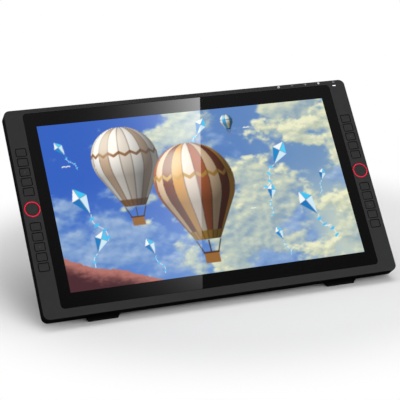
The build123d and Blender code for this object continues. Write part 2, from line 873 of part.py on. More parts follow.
def lever_springs():
    """Two torsion springs round the pin: a close-wound coil with one end on the bracket's floor and
    one behind the paddle's front."""
    inner = lever_pin_radius + spring_gap
    outer = inner + spring_wire
    floor_z = bracket_front - spring_gap - spring_wire / 2
    leg_z = paddle_front + spring_gap + spring_wire / 2
    springs = []
    for side in (-1, 1):
        x = side * spring_x
        coil = rod(outer, spring_width, x, lever_y, lever_z)
        end_x = x + side * (spring_width - spring_wire) / 2
        start_x = x - side * (spring_width - spring_wire) / 2
        foot = Pos(end_x, lever_y - spring_leg / 2, floor_z) * Box(spring_wire, spring_leg, spring_wire)
        riser = Pos(end_x, lever_y, (floor_z - spring_wire / 2 + lever_z) / 2) \
            * Box(spring_wire, spring_wire, floor_z + spring_wire / 2 - lever_z)
        arm = Pos(start_x, lever_y + spring_leg / 2, leg_z) * Box(spring_wire, spring_leg, spring_wire)
        spring = coil + foot + riser + arm
        springs.append(spring - rod(inner, spring_width + overrun, x, lever_y, lever_z))
    return Compound(children=springs)


def lock_yoke():
    """T-shaped plate that carries the lever's pull to two fingers over the clutches."""
    front, back = yoke_z + yoke_thickness / 2, yoke_z - yoke_thickness / 2
    high = lever_y + lever_arm_thickness / 2 + yoke_gap + lever_arm_thickness
    yoke = block(yoke_stem, high - yoke_low, front, back, 0, (high + yoke_low) / 2)
    yoke += block(2 * finger_x + finger_width, yoke_bar, front, back, 0, yoke_low + yoke_bar / 2)
    tip = hinge_y + clutch_radius + yoke_gap
    for side in (-1, 1):
        yoke += block(finger_width, yoke_low - tip, front, back, side * finger_x, (yoke_low + tip) / 2)
    yoke -= block(lever_arm_width + 2 * yoke_gap, lever_arm_thickness + 2 * yoke_gap,
                  front + overrun, back - overrun, 0, lever_y)
    slot = extrude(SlotOverall(yoke_slot_length, 2 * (guide_radius + yoke_gap)), amount=yoke_thickness)
    for y in (guide_low_y, guide_high_y):
        yoke -= Pos(0, y, back) * Rot(0, 0, 90) * slot
    return yoke


def sleeve_blank(radius, side):
    """The part of a round bar on the leg's nose that a rubber sleeve wraps."""
    bar = rod(radius, sleeve_length, side * sleeve_x, leg_length, 0)
    web = Box(sleeve_length + overrun, 2 * sleeve_radius, 2 * sleeve_radius + overrun)
    return bar - Pos(side * sleeve_x, leg_length - sleeve_wrap - sleeve_radius, 0) * web


def stand_leg():
    """Cast U-frame: two arms with knuckles on the hinge line and a cross member with a round nose.
    It is drawn folded, with the hinge line as its origin, and then opened to the floor."""
    frame = Pos(0, leg_length / 2, 0) * Box(2 * leg_half, leg_length, arm_depth)
    gap_high = leg_length - cross_width
    gap_low = -barrel_radius - knuckle_gap - overrun
    frame -= Pos(0, (gap_high + gap_low) / 2, -arm_depth / 2 - overrun) \
        * extrude(RectangleRounded(2 * knuckle_inner, gap_high - gap_low, inner_corner),
                  amount=arm_depth + 2 * overrun)
    outer_edges = frame.edges().filter_by(Axis.Y).group_by(SortBy.DISTANCE)[-1]
    frame = chamfer(outer_edges, arm_edge)
    panel_length = gap_high - 2 * arm_panel_start
    for side in (-1, 1):
        x = side * (knuckle_inner + arm_width / 2)
        frame += rod(barrel_radius, arm_width, x, 0, 0)
        for face in (-1, 1):
            panel = Box(arm_width - 2 * arm_panel_margin, panel_length, 2 * arm_panel_depth)
            frame -= Pos(x, arm_panel_start + panel_length / 2, face * arm_depth / 2) * panel
    nose = rod(nose_radius, 2 * leg_half, 0, leg_length, 0)
    ends = nose.faces().sort_by(Axis.X)
    frame += chamfer(ends[0].edges() + ends[-1].edges(), nose_edge)
    for side in (-1, 1):
        frame -= sleeve_blank(sleeve_radius, side) - sleeve_blank(sleeve_radius - sleeve_wall, side)
        frame -= rod(pin_radius, pin_in_arm + overrun, side * (knuckle_inner + (pin_in_arm - overrun) / 2), 0, 0)
    return frame


def leg_pads():
    """Rubber sleeves on the nose, with a flat where they meet the floor."""
    floor = Pos(0, 0, -body_width / 2) * Box(body_width, 2 * body_width, body_width)
    sleeves = [sleeve_blank(sleeve_radius, side) - sleeve_blank(sleeve_radius - sleeve_wall, side)
               for side in (-1, 1)]
    return Compound(children=[leg_standing * sleeve - floor for sleeve in sleeves])


def hinge_pins():
    """Steel pins: each is fast in an arm's knuckle and turns in its clutch."""
    inner, outer = clutch_end - clutch_length, knuckle_inner + pin_in_arm
    return Compound(children=[
        rod(pin_radius - pin_clearance / 2, outer - inner, side * (inner + outer) / 2, 0, 0)
        for side in (-1, 1)
    ])


# Pieces drawn in the display's frame, stood up together
display_pieces = {
    "front_frame": front_frame(),
    "cover_glass": cover_glass(),
    "glass_tape": glass_tape(),
    "lcd_panel": lcd_panel(),
    "light_guide": light_guide(),
    "backlight_tray": backlight_tray(),
    "digitizer_board": digitizer_board(),
    "shield_plate": shield_plate(),
    "main_board": main_board(),
    "hdmi_socket": hdmi_socket(),
    "usb_sockets": usb_sockets(),
    "power_jack": power_jack(),
    "button_board": button_board(),
    "power_light": power_light(),
    "rear_cover": rear_cover(),
    "case_screws": case_screws(),
    "stand_bracket": stand_bracket(),
    "stand_lid": stand_lid(),
    "stand_screws": stand_screws(),
    "hinge_clutches": hinge_clutches(),
    "lever_pin": lever_pin(),
    "lever_springs": lever_springs(),
    "release_lever": release_lever(),
    "lock_yoke": lock_yoke(),
}
for side, side_name in ((-1, "left"), (1, "right")):
    display_pieces["key_board_" + side_name] = key_board(side)
    display_pieces["dial_" + side_name] = dial_knob(side)
    display_pieces["dial_ring_" + side_name] = dial_ring(side)
    for row in range(len(key_rows)):
        display_pieces[f"key_{side_name}_{row + 1}"] = key(side, row)
for button_name, x in zip(button_names, button_xs):
    display_pieces[button_name] = top_button(x)

finished = {name: standing * piece for name, piece in display_pieces.items()}
finished["stand_leg"] = leg_standing * stand_leg()
finished["hinge_pins"] = leg_standing * hinge_pins()
finished["leg_pads"] = leg_pads()
finished["front_feet"] = front_feet()
finished["front_foot_pads"] = front_foot_pads()

os.makedirs("parts", exist_ok=True)
for name, piece in finished.items():
    export_step(piece, f"parts/{name}.step")
print(len(finished), "pieces; leg slope", round(leg_slope, 2), "screen rise", round(screen_rise, 2))
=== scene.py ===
import json
import math

import bpy
import numpy as np
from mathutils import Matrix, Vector


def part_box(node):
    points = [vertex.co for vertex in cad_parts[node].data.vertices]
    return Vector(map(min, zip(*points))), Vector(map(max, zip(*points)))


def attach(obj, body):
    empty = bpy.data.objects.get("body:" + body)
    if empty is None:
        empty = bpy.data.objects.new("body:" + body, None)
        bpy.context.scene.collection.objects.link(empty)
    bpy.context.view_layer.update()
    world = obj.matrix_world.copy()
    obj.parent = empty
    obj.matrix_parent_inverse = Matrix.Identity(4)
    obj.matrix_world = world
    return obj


# A pen display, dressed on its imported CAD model. The CAD pieces carry the shape. This script gives
# them their finishes, lights the screen, prints the signs by the buttons and sets the studio.
# Lengths on the display are in millimetres, in its own frame: x to the right and y up the face from
# the screen's centre, z out of the face. Blender's own lengths are metres, in the row frame.

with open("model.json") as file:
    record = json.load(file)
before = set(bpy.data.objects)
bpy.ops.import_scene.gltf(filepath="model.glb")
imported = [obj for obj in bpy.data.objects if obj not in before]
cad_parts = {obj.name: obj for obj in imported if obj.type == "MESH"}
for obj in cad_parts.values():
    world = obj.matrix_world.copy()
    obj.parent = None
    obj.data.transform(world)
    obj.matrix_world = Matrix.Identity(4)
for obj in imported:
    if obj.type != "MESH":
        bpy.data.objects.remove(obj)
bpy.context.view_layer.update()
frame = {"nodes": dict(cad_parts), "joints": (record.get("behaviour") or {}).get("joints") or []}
nodes = frame["nodes"]
MM = 0.001

# How the display stands, read from the frame
joints = {joint["name"]: joint for joint in frame["joints"]}
ACROSS = Vector((1, 0, 0))
OUTWARD = Vector(joints["turn_dial_left"]["axis"]).normalized()
UPWARD = OUTWARD.cross(ACROSS)
GLASS_RECESS = 0.2
# A face counts as a wall, and gets a painted near-black shade, where the cosine between it and the front is
# below this
FRAME_WALL = 0.8
COVER_WALL = 0.3
KEY_WALL = 0.85
# The raised dot on four of the keys: what lies this near the key's middle, and this near its highest point
DOT_RADIUS = 1.1
DOT_RISE = 0.3


def reach(name, direction):
    """The lowest and the highest of a CAD node's points along a direction."""
    along = np.array([vertex.co for vertex in nodes[name].data.vertices]) @ np.array(direction)
    return along.min(), along.max()


def middle(name, direction):
    """The middle of a CAD node along a direction."""
    return sum(reach(name, direction)) / 2


SCREEN_CENTRE = (ACROSS * middle("cover_glass", ACROSS) + UPWARD * middle("cover_glass", UPWARD)
                 + OUTWARD * (reach("cover_glass", OUTWARD)[1] + GLASS_RECESS * MM))

# The camera, as it stood for the photograph
CAMERA_PLACE = Vector((-0.7249, -1.9852, 0.8547))
CAMERA_HEADING = 20.287
CAMERA_TILT = -19.187
CAMERA_LENS = 127.8
SENSOR_WIDTH = 36.0

# The lit screen
SCREEN_WIDTH = 476.6
SCREEN_HEIGHT = 268.1
SCREEN_COLUMNS = 400
SCREEN_ROWS = 225
IMAGE_SKIN = 0.03


def on_display(x, y, z):
    """Points of the display's frame in mm, as row-frame metres: centre + x * across + y * up + z * out."""
    x, y, z = np.broadcast_arrays(x, y, z)
    axes = np.array([ACROSS, UPWARD, OUTWARD])
    return np.array(SCREEN_CENTRE) + np.stack([x, y, z], axis=-1) * MM @ axes


def to_display(point):
    """A row-frame point in metres, as a point of the display's frame in mm."""
    away = (Vector(point) - SCREEN_CENTRE) / MM
    return np.array([away.dot(ACROSS), away.dot(UPWARD), away.dot(OUTWARD)])


def ramp(value, start, end):
    """0 before start, 1 after end, and a smooth rise between them."""
    t = np.clip((value - start) / (end - start), 0, 1)
    return t * t * (3 - 2 * t)


def paint(hex_colour):
    """The three sRGB values of a hex colour, from 0 to 1."""
    return np.array([int(hex_colour[i:i + 2], 16) for i in (1, 3, 5)]) / 255


def linear(srgb):
    """sRGB values made linear, by the sRGB curve."""
    srgb = np.asarray(srgb, float)
    return np.where(srgb <= 0.04045, srgb / 12.92, ((srgb + 0.055) / 1.055) ** 2.4)


def colour(hex_colour):
    """A hex colour as the linear colour, with alpha, that a shader socket takes."""
    return (*linear(paint(hex_colour)), 1.0)


# Materials

# Grain, lathe marks, grinding marks and weave are 0.05 to 0.3 mm wide on the real pieces, too fine to show in
# the render. Each is drawn as coarse as it needs to show. In a Mix node, socket 0 is the factor, 2 and 3 take
# numbers, and 6 and 7 take colours.


def node(tree, kind, sockets=None, **settings):
    """Adds a node. sockets gives each input, by name or number, a value or another node's output."""
    made = tree.nodes.new(kind)
    for name, value in settings.items():
        setattr(made, name, value)
    for key, value in (sockets or {}).items():
        if isinstance(value, bpy.types.NodeSocket):
            tree.links.new(value, made.inputs[key])
        else:
            made.inputs[key].default_value = value
    return made


def finish(name, **sockets):
    """A new material, its tree and its Principled shader, which gets these constant sockets."""
    material = bpy.data.materials.new(name)
    material.use_nodes = True
    tree = material.node_tree
    shader = tree.nodes["Principled BSDF"]
    for key, value in sockets.items():
        shader.inputs[key.replace("_", " ")].default_value = value
    return material, tree, shader


def mottle(tree, shader, size, dark, light):
    """The colour drifts between two close shades, in patches of this size in mm."""
    place = node(tree, "ShaderNodeTexCoord").outputs["Object"]
    cloud = node(tree, "ShaderNodeTexNoise", {"Vector": place, "Scale": 1 / (size * MM), "Detail": 3.0})
    blend = node(tree, "ShaderNodeMix", {0: cloud.outputs[0], 6: colour(dark), 7: colour(light)},
                 data_type="RGBA")
    tree.links.new(blend.outputs[2], shader.inputs["Base Color"])


def grain(tree, shader, size, height, rough=None, detail=2.0):
    """A fine relief of bumps of this size and height in mm. rough is the roughness in dips and on tops."""
    place = node(tree, "ShaderNodeTexCoord").outputs["Object"]
    bumps = node(tree, "ShaderNodeTexNoise", {"Vector": place, "Scale": 1 / (size * MM), "Detail": detail})
    relief = node(tree, "ShaderNodeBump", {"Height": bumps.outputs[0], "Distance": height * MM})
    tree.links.new(relief.outputs[0], shader.inputs["Normal"])
    if rough:
        span = node(tree, "ShaderNodeMapRange", {"Value": bumps.outputs[0], "To Min": rough[0],
                                                 "To Max": rough[1]})
        tree.links.new(span.outputs[0], shader.inputs["Roughness"])


def turned_rings(tree, shader, centre, pitch, height):
    """Lathe marks: rings about a centre on the display's face, one for each pitch in mm."""
    place = node(tree, "ShaderNodeTexCoord").outputs["Object"]
    from_axis = node(tree, "ShaderNodeVectorMath", {0: place, 1: tuple(centre)}, operation="SUBTRACT")
    beside = node(tree, "ShaderNodeVectorMath", {0: from_axis.outputs[0], 1: tuple(OUTWARD)},
                  operation="CROSS_PRODUCT")
    radius = node(tree, "ShaderNodeVectorMath", {0: beside.outputs[0]}, operation="LENGTH")
    turns = node(tree, "ShaderNodeMath", {0: radius.outputs["Value"], 1: math.tau / (pitch * MM)},
                 operation="MULTIPLY")
    wave = node(tree, "ShaderNodeMath", {0: turns.outputs[0]}, operation="SINE")
    relief = node(tree, "ShaderNodeBump", {"Height": wave.outputs[0], "Distance": height * MM})
    tree.links.new(relief.outputs[0], shader.inputs["Normal"])


def sparked_abs():
    """Moulded ABS from a spark-eroded mould: dark grey, with an even matt grain that dulls its highlights."""
    material, tree, shader = finish("sparked_abs", Roughness=0.6, **{"Specular IOR Level": 0.25})
    mottle(tree, shader, 9.0, "#2A2A2B", "#2F2F30")
    grain(tree, shader, 0.9, 0.02, (0.54, 0.66))
    return material


def satin_abs():
    """Moulded ABS from a finely blasted mould, as on the keys: the frame's grey, a little smoother."""
    material, tree, shader = finish("satin_abs", Roughness=0.5, **{"Specular IOR Level": 0.3})
    mottle(tree, shader, 6.0, "#272728", "#2C2C2D")
    grain(tree, shader, 0.5, 0.006, (0.44, 0.56))
    return material


def black_abs():
    """Moulded ABS of the rear cover: near black, with a coarser spark grain that hides flow marks."""
    material, tree, shader = finish("black_abs", Roughness=0.6, **{"Specular IOR Level": 0.35})
    mottle(tree, shader, 14.0, "#0D0D0E", "#121213")
    grain(tree, shader, 1.1, 0.04, (0.54, 0.68))
    return material


def painted_shade_walls():
    """Painted shade for the walls round frame, cover and keys: near black and dead matt, so that edges and key
    gaps show as dark outlines.
    """
    material, tree, shader = finish("painted_shade_walls", Roughness=0.8, **{"Specular IOR Level": 0.01})
    mottle(tree, shader, 14.0, "#030304", "#060607")
    grain(tree, shader, 1.1, 0.02, (0.74, 0.86))
    return material


def printed_glass():
    """Toughened glass with a black print on its back: deep black under a clear, polished face."""
    material, tree, shader = finish("printed_glass", IOR=1.5, Roughness=0.012)
    mottle(tree, shader, 60.0, "#070708", "#09090A")
    place = node(tree, "ShaderNodeTexCoord").outputs["Object"]
    smears = node(tree, "ShaderNodeTexNoise", {"Vector": place, "Scale": 1 / (45 * MM), "Detail": 5.0})
    span = node(tree, "ShaderNodeMapRange", {"Value": smears.outputs[0], "To Min": 0.006, "To Max": 0.02})
    tree.links.new(span.outputs[0], shader.inputs["Roughness"])
    return material


def anodised_ring(side):
    """Turned aluminium, dyed crimson and anodised: fine lathe rings under a clear metallic colour."""
    material, tree, shader = finish(f"crimson_anodised_aluminium_{side}", Metallic=0.25, Roughness=0.2,
                                    Coat_Weight=0.8, Coat_Roughness=0.08)
    mottle(tree, shader, 3.0, "#F4123A", "#FF2A50")
    turned_rings(tree, shader, centre_of(f"dial_ring_{side}"), 0.35, 0.003)
    return material


def dial_plastic(side):
    """Moulded ABS of the dial: the frame's grey, with the fine rings of its turned mould insert."""
    material, tree, shader = finish(f"dial_abs_{side}", Roughness=0.5, **{"Specular IOR Level": 0.3})
    mottle(tree, shader, 5.0, "#282829", "#2D2D2E")
    turned_rings(tree, shader, centre_of(f"dial_{side}"), 0.6, 0.004)
    return material


def moulded_rubber():
    """Moulded rubber of the soles: soft black with a dry bloom, and no clear highlight."""
    material, tree, shader = finish("moulded_rubber", Roughness=0.85, **{"Specular IOR Level": 0.15})
    mottle(tree, shader, 4.0, "#0B0B0C", "#121213")
    grain(tree, shader, 0.7, 0.05, (0.8, 0.95))
    return material


def powder_coat():
    """Die-cast aluminium, powder coated: satin black with the slight orange peel of the melted powder."""
    material, tree, shader = finish("powder_coated_casting", Roughness=0.45, **{"Coat Weight": 0.15})
    mottle(tree, shader, 12.0, "#101011", "#161617")
    grain(tree, shader, 2.2, 0.05, (0.38, 0.5), detail=1.0)
    return material


def blackened_steel():
    """Zinc-plated steel, passivated black: a dark metal with a faint oily sheen."""
    material, tree, shader = finish("blackened_steel", Metallic=1.0, Roughness=0.4)
    mottle(tree, shader, 1.5, "#1C1C20", "#2C2C31")
    grain(tree, shader, 0.4, 0.004, (0.32, 0.5))
    return material


def ground_steel():
    """Ground and oiled steel of the pins, clutches and springs: a bright grey with short grinding marks."""
    material, tree, shader = finish("ground_steel", Metallic=1.0, Roughness=0.3)
    mottle(tree, shader, 2.0, "#7C7D80", "#9A9B9E")
    grain(tree, shader, 0.25, 0.003, (0.25, 0.4))
    return material


def plated_shell(name, dark, light, spot):
    """Plated sheet metal: an even bright skin with the soft spangle of its plating, this wide in mm."""
    material, tree, shader = finish(name, Metallic=1.0, Roughness=0.32)
    mottle(tree, shader, spot, dark, light)
    grain(tree, shader, spot / 2, 0.003, (0.26, 0.4))
    return material


def glass_fibre_board(name, dark, light):
    """Glass-fibre board under solder mask: glossy, with the weave of the cloth, 1 mm a thread, below."""
    material, tree, shader = finish(name, Roughness=0.3)
    mottle(tree, shader, 8.0, dark, light)
    place = node(tree, "ShaderNodeTexCoord").outputs["Object"]
    weave = node(tree, "ShaderNodeTexChecker", {"Vector": place, "Scale": 1 / (1.0 * MM)})
    relief = node(tree, "ShaderNodeBump", {"Height": weave.outputs["Fac"], "Distance": 0.01 * MM})
    tree.links.new(relief.outputs[0], shader.inputs["Normal"])
    return material


def plain_moulding(name, dark, light, rough, shine=0.5):
    """A small moulded piece: a close pair of shades, and a light grain that sets its roughness."""
    material, tree, shader = finish(name, Roughness=rough, **{"Specular IOR Level": shine})
    mottle(tree, shader, 5.0, dark, light)
    grain(tree, shader, 0.8, 0.01, (rough - 0.06, rough + 0.06))
    return material


def lit_bar():
    """Milky acrylic light pipe with a white diode behind it: it glows evenly, a little weaker at its ends."""
    material, tree, shader = finish("lit_acrylic", Roughness=0.3, **{"Emission Strength": 1.0})
    shader.inputs["Base Color"].default_value = colour("#D8DCE0")
    low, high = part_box("power_light")
    place = node(tree, "ShaderNodeTexCoord").outputs["Object"]
    apart = node(tree, "ShaderNodeVectorMath", {0: place, 1: tuple((low + high) / 2)}, operation="SUBTRACT")
    side = node(tree, "ShaderNodeSeparateXYZ", {0: apart.outputs[0]})
    from_middle = node(tree, "ShaderNodeMath", {0: side.outputs[0]}, operation="ABSOLUTE")
    half_width = (high.x - low.x) / 2
    fade = node(tree, "ShaderNodeMapRange", {"Value": from_middle.outputs[0], "From Min": half_width * 0.5,
                                             "From Max": half_width})
    glow = node(tree, "ShaderNodeMix", {0: fade.outputs[0], 6: colour("#DDE1E8"), 7: colour("#9AA1AC")},
                data_type="RGBA")
    tree.links.new(glow.outputs[2], shader.inputs["Emission Color"])
    return material


def lit_panel():
    """The lit picture seen through the glass: its own light, with the glass's clear reflection over it."""
    material, tree, shader = finish("lit_panel", IOR=1.5, Roughness=0.012, **{"Emission Strength": 1.0})
    shader.inputs["Base Color"].default_value = colour("#050506")
    picture = node(tree, "ShaderNodeVertexColor", layer_name="picture")
    tree.links.new(picture.outputs["Color"], shader.inputs["Emission Color"])
    return material


def printed_ink(name, dark, light):
    """Pad-printed ink of the signs: a flat film that barely shines."""
    material, tree, shader = finish(name, Roughness=0.6)
    mottle(tree, shader, 1.0, dark, light)
    return material


def recolour(name, material, chosen):
    """Gives the faces of a CAD node that are chosen, one truth value for each, another finish."""
    mesh = nodes[name].data
    mesh.materials.append(material)
    numbers = np.array([polygon.material_index for polygon in mesh.polygons])
    mesh.polygons.foreach_set("material_index", np.where(chosen, len(mesh.materials) - 1, numbers).tolist())


def walls(name, turn):
    """Which faces of a node turn away from the front: its outer walls and those of its holes."""
    return abs(np.array([polygon.normal for polygon in nodes[name].data.polygons]) @ np.array(OUTWARD)) < turn


def raised_dot(name):
    """Which faces of a key lie about its middle and stand out from its cap."""
    centres = np.array([polygon.center for polygon in nodes[name].data.polygons])
    right, up, out = (centres @ np.array(axis) for axis in (ACROSS, UPWARD, OUTWARD))
    beside = np.hypot(right - middle(name, ACROSS), up - middle(name, UPWARD))
    return (beside < DOT_RADIUS * MM) & (out > reach(name, OUTWARD)[1] - DOT_RISE * MM)


def centre_of(name):
    """The middle of a CAD node's box."""
    low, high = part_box(name)
    return (low + high) / 2


def dress(names, material):
    """Gives CAD nodes a finish."""
    for name in names:
        slots = nodes[name].data.materials
        for index in range(max(len(slots), 1)):
            if slots:
                slots[index] = material
            else:
                slots.append(material)


# Meshes


def add_mesh(name, points, faces, material, smooth=False):
    """A mesh object at the origin from an array of points and a list of faces."""
    mesh = bpy.data.meshes.new(name)
    mesh.from_pydata(np.asarray(points).tolist(), [], faces)
    mesh.polygons.foreach_set("use_smooth", [smooth] * len(mesh.polygons))
    mesh.materials.append(material)
    made = bpy.data.objects.new(name, mesh)
    bpy.context.scene.collection.objects.link(made)
    return made


def grid_faces(rows, columns):
    """The quads of a grid whose points are numbered along each row in turn, facing +z for x right and y up."""
    corner = np.arange(rows - 1)[:, None] * columns + np.arange(columns - 1)[None, :]
    corner = corner.reshape(-1, 1)
    return (corner + np.array([0, 1, columns + 1, columns])).tolist()


# The picture on the screen: a made-up sky with balloons and kites

LATTICE = 64


def value_noise(x, y, seed):
    """Random heights on a lattice of step 1, which repeats, joined by smooth steps."""
    lattice = np.random.default_rng(seed).random((LATTICE, LATTICE))
    column, row = np.floor(x).astype(int), np.floor(y).astype(int)
    u, v = ramp(x - column, 0, 1), ramp(y - row, 0, 1)
    left, right = column % LATTICE, (column + 1) % LATTICE
    low, high = row % LATTICE, (row + 1) % LATTICE
    below = lattice[low, left] * (1 - u) + lattice[low, right] * u
    above = lattice[high, left] * (1 - u) + lattice[high, right] * u
    return below * (1 - v) + above * v


def layered_noise(x, y, size, seed, layers=5):
    """Noise with patches of this size in mm, and on it finer layers, each half as wide and 0.55 as high."""
    heights = 0.55 ** np.arange(layers)
    stack = [h * value_noise(x / size * 2 ** k + 7.3 * k, y / size * 2 ** k + 3.1 * k, seed + k)
             for k, h in enumerate(heights)]
    return sum(stack) / heights.sum()


def lay(picture, shade, cover):
    """Lays a shade, one colour or one for each point, over the picture where cover is above 0."""
    return picture * (1 - cover[..., None]) + np.asarray(shade) * cover[..., None]


def between(first, second, share):
    """Colours between two hex colours, by share from 0 to 1."""
    return paint(first) * (1 - share[..., None]) + paint(second) * share[..., None]


def sky(x, y):
    """Deep blue at the left and a hazy grey blue at the right, a little paler low down, with soft drifts and a
    cream haze in the lower right."""
    drift = 0.3 * (layered_noise(x, y, 120, 3) - 0.5)
    share = np.clip(x / SCREEN_WIDTH + 0.5 + drift, 0, 1)
    level = np.clip(0.5 - y / SCREEN_HEIGHT + drift, 0, 1)
    picture = between("#3461C0", "#6F93BE", ramp(share, 0.1, 0.95))
    picture = lay(picture, paint("#7FA9DC"), 0.45 * ramp(level, 0.35, 1.0))
    return lay(picture, paint("#DDDFBE"), 0.7 * ramp(share, 0.55, 1.0) * ramp(level, 0.3, 0.9))


def clouds(picture, x, y, seed, size, level, bright, dim, tilt):
    """Heaped clouds where the noise, plus its tilt to the right, passes a level, lit from the upper left by its
    slope."""
    thickness = layered_noise(x, y * 1.5, size, seed, 6) + tilt * x / SCREEN_WIDTH
    beyond = layered_noise(x - 5, (y + 6) * 1.5, size, seed, 6) + tilt * (x - 5) / SCREEN_WIDTH
    lit = np.clip(0.5 + 5.5 * (thickness - beyond), 0, 1)
    return lay(picture, between(dim, bright, lit), 0.95 * ramp(thickness, level, level + 0.12))


def hills(picture, x, y, base, height, fall, seed, light, dark):
    """A ridge of hills: noise about a line that falls to the right, light on its crest, with rows of trees."""
    crest = base + height * (layered_noise(x, np.zeros_like(x), 70, seed, 4) - 0.3)
    crest -= fall * (x + SCREEN_WIDTH / 2)
    trees = 2.5 * value_noise(x / 3.1, y / 9, seed + 40)
    below = crest + trees - y
    rough = layered_noise(x, y * 2, 9, seed + 60, 3)
    return lay(picture, between(light, dark, ramp(below + 14 * (rough - 0.5), 2, 30)), ramp(below, 0, 1.5))


# A balloon's measures, in its radius: down to its mouth, its ropes' end and its basket's rim and middle
MOUTH = 1.46
ROPES_END = 1.78
RIM_LEVEL = 1.77
BASKET_LEVEL = 1.9


def balloon(picture, x, y, centre, radius, gores, turn, panels, trim):
    """A hot-air balloon: a circle that runs straight down to its mouth, of half width sqrt(1 - v * v), in gores
    evenly turned about its axis, with a basket."""
    u, v = (x - centre[0]) / radius, (y - centre[1]) / radius
    # Below v = -0.5 the circle goes on as its tangent, from a half width of 0.866 at a slope of 0.577
    width = np.where(v > -0.5, np.sqrt(np.clip(1 - v * v, 1e-4, 1)), 0.866 + 0.577 * (v + 0.5))
    fine = 1.2 / radius
    inside = ramp(width - abs(u), 0, fine) * ramp(v, -MOUTH, -MOUTH + fine) * ramp(-v, -1, -1 + fine)
    angle = np.arcsin(np.clip(u / np.maximum(width, 0.05), -1, 1))
    along = (angle + turn) * gores / math.tau
    panel = np.array([paint(shade) for shade in panels])[np.floor(along).astype(int) % len(panels)]
    seam = 1 - ramp(abs(along - np.round(along)) * width, 0.0, 0.09)
    slope = np.clip(v, -0.5, 1)
    level = np.sqrt(1 - slope * slope)
    light = -0.52 * np.sin(angle) * level + 0.55 * slope + 0.65 * np.cos(angle) * level
    zigzag = 0.1 * abs((along * 2) % 2 - 1)
    band = 1 - ramp(abs(v - 0.12 - zigzag), 0.035, 0.06)
    skirt = ramp(-v, 1.22, 1.25)
    body = lay(lay(panel, paint(trim), np.maximum(band, skirt)), paint("#4A3426"), 0.45 * seam)
    body = body * (0.42 + 0.68 * np.clip(light, 0, 1))[..., None]
    body = lay(body, paint("#FFFDF0"), 0.55 * ramp(light, 0.82, 1.0))
    picture = lay(picture, np.clip(body, 0, 1), inside)
    rope_share = np.clip((-v - MOUTH) / 0.3, 0, 1)
    rope = np.minimum(abs(abs(u) - 0.3 + 0.12 * rope_share), abs(u))
    hung = ramp(-v, MOUTH, MOUTH + 0.01) * ramp(v, -ROPES_END, -ROPES_END + 0.01)
    picture = lay(picture, paint("#3B2A1E"), 0.8 * hung * (1 - ramp(rope, 0.01, 0.012 + fine * 0.6)))
    basket = ramp(0.19 - abs(u), 0, fine) * ramp(0.14 - abs(v + BASKET_LEVEL), 0, fine)
    wicker = 0.5 + 0.5 * np.sin(u * 95) * np.sin(v * 120)
    picture = lay(picture, between("#6E4523", "#B98547", wicker), basket)
    rim = ramp(0.21 - abs(u), 0, fine) * ramp(0.025 - abs(v + RIM_LEVEL), 0, fine * 0.7)
    return lay(picture, paint("#4B2C16"), rim)


# A kite's measures, in its size: its lower point, its tail's end and the step between bows
KITE_POINT = 1.6
TAIL_END = 4.2
BOW_STEP = 0.65


def kite(picture, x, y, centre, size, lean, bright, deep):
    """A paper kite: four facets where height + |u| / 0.72 is below 1, on a tail that sways as a sine."""
    turn = math.radians(lean)
    u = ((x - centre[0]) * math.cos(turn) + (y - centre[1]) * math.sin(turn)) / size
    v = (-(x - centre[0]) * math.sin(turn) + (y - centre[1]) * math.cos(turn)) / size
    height = np.where(v > 0, v, -v / KITE_POINT)
    fine = 1.1 / size
    inside = ramp(1 - height - abs(u) / 0.72, 0, fine * 1.5)
    facet = np.where(v > 0, np.where(u > 0, 0, 1), np.where(u > 0, 2, 3))
    shades = np.array([paint(bright), paint("#F3FAFF"), paint("#CFE9F7"), paint(deep)])[facet]
    spar = np.maximum(1 - ramp(abs(u), 0.01, 0.02 + fine * 0.4), 1 - ramp(abs(v), 0.01, 0.02 + fine * 0.4))
    sway = 0.22 * np.sin((v + KITE_POINT) * 2.6)
    hung = ramp(-v, KITE_POINT - 0.05, KITE_POINT) * ramp(v, -TAIL_END, -TAIL_END + 0.1)
    tail = (1 - ramp(abs(u - sway), 0.01, 0.03 + fine * 0.5)) * hung
    step = (-v - KITE_POINT) % BOW_STEP - BOW_STEP / 2
    bow = ramp(0.3 - abs(u - sway) - 2.0 * abs(step), 0, fine)
    bow *= ramp(-v, KITE_POINT, KITE_POINT + 0.1) * ramp(v, -TAIL_END - 0.1, -TAIL_END)
    picture = lay(picture, paint("#EAF6FC"), 0.85 * tail)
    picture = lay(picture, paint(bright), 0.95 * bow)
    return lay(picture, lay(shades, paint("#5B6E7A"), 0.6 * spar), inside)


def bird(picture, x, y, centre, span):
    """A gull far off: two arched wings that meet in a point."""
    u, v = (x - centre[0]) / span, (y - centre[1]) / span
    wing = 0.5 * np.sqrt(np.clip(abs(u), 0, 1)) * (1.25 - abs(u))
    line = 1 - ramp(abs(v - wing), 0.05, 0.14 + 0.5 / span)
    return lay(picture, paint("#F6F5EC"), line * ramp(1 - abs(u), 0, 0.15))


# Each kite's place, size in mm, lean in degrees and two colours, and each bird's place and span
KITES = [((-196, 10), 19, 24, "#3FC3F5", "#1B74BC"), ((-176, -58), 15, -24, "#49C8F7", "#1E7DC4"),
         ((-212, 96), 11, 30, "#55CDF8", "#2186CB"), ((-104, -76), 12, 18, "#3FC3F5", "#1B74BC"),
         ((22, 110), 13, -32, "#49C8F7", "#1E7DC4"), ((142, 52), 18, -34, "#55CDF8", "#2186CB"),
         ((164, -36), 19, 28, "#3FC3F5", "#1B74BC"), ((112, -12), 11, -14, "#49C8F7", "#1E7DC4"),
         ((106, -82), 10, 16, "#55CDF8", "#2186CB"), ((204, 6), 9, -20, "#49C8F7", "#1B74BC")]
BIRDS = [((-206, 62), 7), ((96, 96), 6), ((112, 104), 4.5), ((190, -84), 6), ((74, -40), 5)]


